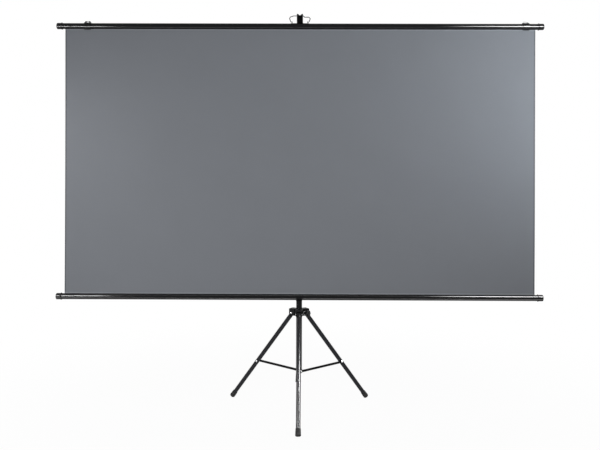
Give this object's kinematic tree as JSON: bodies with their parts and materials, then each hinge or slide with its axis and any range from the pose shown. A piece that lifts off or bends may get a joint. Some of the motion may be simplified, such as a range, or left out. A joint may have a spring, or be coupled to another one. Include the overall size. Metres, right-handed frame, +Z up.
{
  "type": "tripod projector screen",
  "caption": "Portable projector screen: taut grey fabric between two slotted bars, hung by a wire bail from a telescoping mast on a folding three-legged stand.",
  "frame": {"origin": "on the floor, at the middle of the object's width and depth", "axes": "+X along the screen's width to the viewer's right, +Y away from the viewer towards the mast, +Z up; the screen's front faces -Y"},
  "size_m": [2.293, 0.5998, 1.8717],
  "materials": {
    "black_paint": "glossy black paint on steel",
    "black_plastic": "satin black moulded plastic",
    "black_rubber": "matt black rubber",
    "plated_steel": "bright plated steel",
    "grey_fabric": "matt grey screen fabric",
    "pale_plastic": "pale plastic cord inside each bar"
  },
  "bodies": {
    "stand": {"pole_tube": "black_paint", "pole_end_plug": "black_plastic", "pole_guide_ring": "black_plastic", "pole_clamp_boss": "black_paint", "strut_front_root_screw": "plated_steel", "strut_right_root_screw": "plated_steel", "strut_left_root_screw": "plated_steel"},
    "hub_slider": {"hub": "black_plastic", "leg_front_pivot_pin": "plated_steel", "leg_right_pivot_pin": "plated_steel", "leg_left_pivot_pin": "plated_steel"},
    "hub_clamp": {"hub_knob": "black_plastic", "hub_knob_stud": "plated_steel"},
    "pole_clamp": {"pole_knob": "black_plastic", "pole_knob_stud": "plated_steel"},
    "mast_glide": {"mast_foot_bush": "black_plastic"},
    "mast_lower": {"mast_lower_tube": "black_paint", "mast_collar": "black_plastic", "cradle": "black_paint", "cradle_screw": "plated_steel", "lower_bar_tube": "black_paint", "lower_bar_cap_left": "black_plastic", "lower_bar_cap_right": "black_plastic", "lower_bar_spline": "pale_plastic", "screen_fabric": "grey_fabric"},
    "mast_clamp": {"mast_knob": "black_plastic", "mast_knob_stud": "plated_steel"},
    "mast_upper": {"mast_upper_tube": "black_paint", "mast_upper_bush": "black_plastic", "hook_head": "black_plastic", "hook_screw": "plated_steel", "upper_bar_tube": "black_paint", "upper_bar_cap_left": "black_plastic", "upper_bar_cap_right": "black_plastic", "upper_bar_spline": "pale_plastic", "bail_saddle": "black_paint"},
    "hanging_bail": {"bail": "plated_steel"},
    "left_clip": {"clip_left": "black_plastic"},
    "right_clip": {"clip_right": "black_plastic"},
    "leg_front": {"leg_front_tube": "black_paint", "leg_front_fitting": "black_plastic", "leg_front_foot": "black_rubber", "leg_front_rivet": "plated_steel"},
    "linkage_strut_front": {"strut_front": "black_paint", "strut_front_rivet": "plated_steel"},
    "leg_right": {"leg_right_tube": "black_paint", "leg_right_fitting": "black_plastic", "leg_right_foot": "black_rubber", "leg_right_rivet": "plated_steel"},
    "linkage_strut_right": {"strut_right": "black_paint", "strut_right_rivet": "plated_steel"},
    "leg_left": {"leg_left_tube": "black_paint", "leg_left_fitting": "black_plastic", "leg_left_foot": "black_rubber", "leg_left_rivet": "plated_steel"},
    "linkage_strut_left": {"strut_left": "black_paint", "strut_left_rivet": "plated_steel"}
  },
  "joints": [
    {"name": "hub_slide", "type": "slide", "parent": "stand", "child": "hub_slider", "axis": [0, 0, 1], "range_m": [-0.1781, 0]},
    {"name": "hub_knob_turn", "type": "hinge", "parent": "hub_slider", "child": "hub_clamp", "pos_m": [0.03464, 0.07551, 0.45903], "axis": [0.866, -0.5, 0], "continuous": true},
    {"name": "pole_knob_turn", "type": "hinge", "parent": "stand", "child": "pole_clamp", "pos_m": [0, 0.12551, 0.49781], "axis": [0, 1, 0], "continuous": true},
    {"name": "mast_raise", "type": "slide", "parent": "stand", "child": "mast_glide", "axis": [0, 0, 1], "range_m": [0, 0.2]},
    {"name": "mast_turn", "type": "hinge", "parent": "mast_glide", "child": "mast_lower", "pos_m": [0, 0.09551, 0.8], "axis": [0, 0, 1], "continuous": true},
    {"name": "mast_knob_turn", "type": "hinge", "parent": "mast_lower", "child": "mast_clamp", "pos_m": [0, 0.12551, 1.05141], "axis": [0, 1, 0], "continuous": true},
    {"name": "screen_height_slide", "type": "slide", "parent": "mast_lower", "child": "mast_upper", "axis": [0, 0, 1], "range_m": [-0.68, 0], "deforming": ["screen_fabric"]},
    {"name": "bail_swing", "type": "hinge", "parent": "mast_upper", "child": "hanging_bail", "pos_m": [0, 0.06071, 1.83341], "axis": [1, 0, 0], "range_deg": [-3, 3]},
    {"name": "clip_left_slide", "type": "slide", "parent": "mast_upper", "child": "left_clip", "axis": [1, 0, 0], "range_m": [-0.1, 0.9]},
    {"name": "clip_right_slide", "type": "slide", "parent": "mast_upper", "child": "right_clip", "axis": [1, 0, 0], "range_m": [-0.95, 0.04]},
    {"name": "leg_front_fold", "type": "hinge", "parent": "hub_slider", "child": "leg_front", "pos_m": [0, 0.06051, 0.45603], "axis": [1, 0, 0], "range_deg": [0, 37.96]},
    {"name": "strut_front_fold", "type": "hinge", "parent": "stand", "child": "linkage_strut_front", "pos_m": [0, 0.09051, 0.18106], "axis": [1, 0, 0], "range_deg": [0, 86.96]},
    {"name": "leg_right_fold", "type": "hinge", "parent": "hub_slider", "child": "leg_right", "pos_m": [0.03031, 0.11301, 0.45603], "axis": [-0.5, 0.866, 0], "range_deg": [0, 37.96]},
    {"name": "strut_right_fold", "type": "hinge", "parent": "stand", "child": "linkage_strut_right", "pos_m": [0.00433, 0.09801, 0.18106], "axis": [-0.5, 0.866, 0], "range_deg": [0, 86.96]},
    {"name": "leg_left_fold", "type": "hinge", "parent": "hub_slider", "child": "leg_left", "pos_m": [-0.03031, 0.11301, 0.45603], "axis": [-0.5, -0.866, 0], "range_deg": [0, 37.96]},
    {"name": "strut_left_fold", "type": "hinge", "parent": "stand", "child": "linkage_strut_left", "pos_m": [-0.00433, 0.09801, 0.18106], "axis": [-0.5, -0.866, 0], "range_deg": [0, 86.96]}
  ],
  "couplings": [
    {"joint": "leg_front_fold", "follows": "hub_slide", "rad_per_m": -3.719},
    {"joint": "strut_front_fold", "follows": "hub_slide", "rad_per_m": -8.5206},
    {"joint": "leg_right_fold", "follows": "hub_slide", "rad_per_m": -3.719},
    {"joint": "strut_right_fold", "follows": "hub_slide", "rad_per_m": -8.5206},
    {"joint": "leg_left_fold", "follows": "hub_slide", "rad_per_m": -3.719},
    {"joint": "strut_left_fold", "follows": "hub_slide", "rad_per_m": -8.5206}
  ]
}
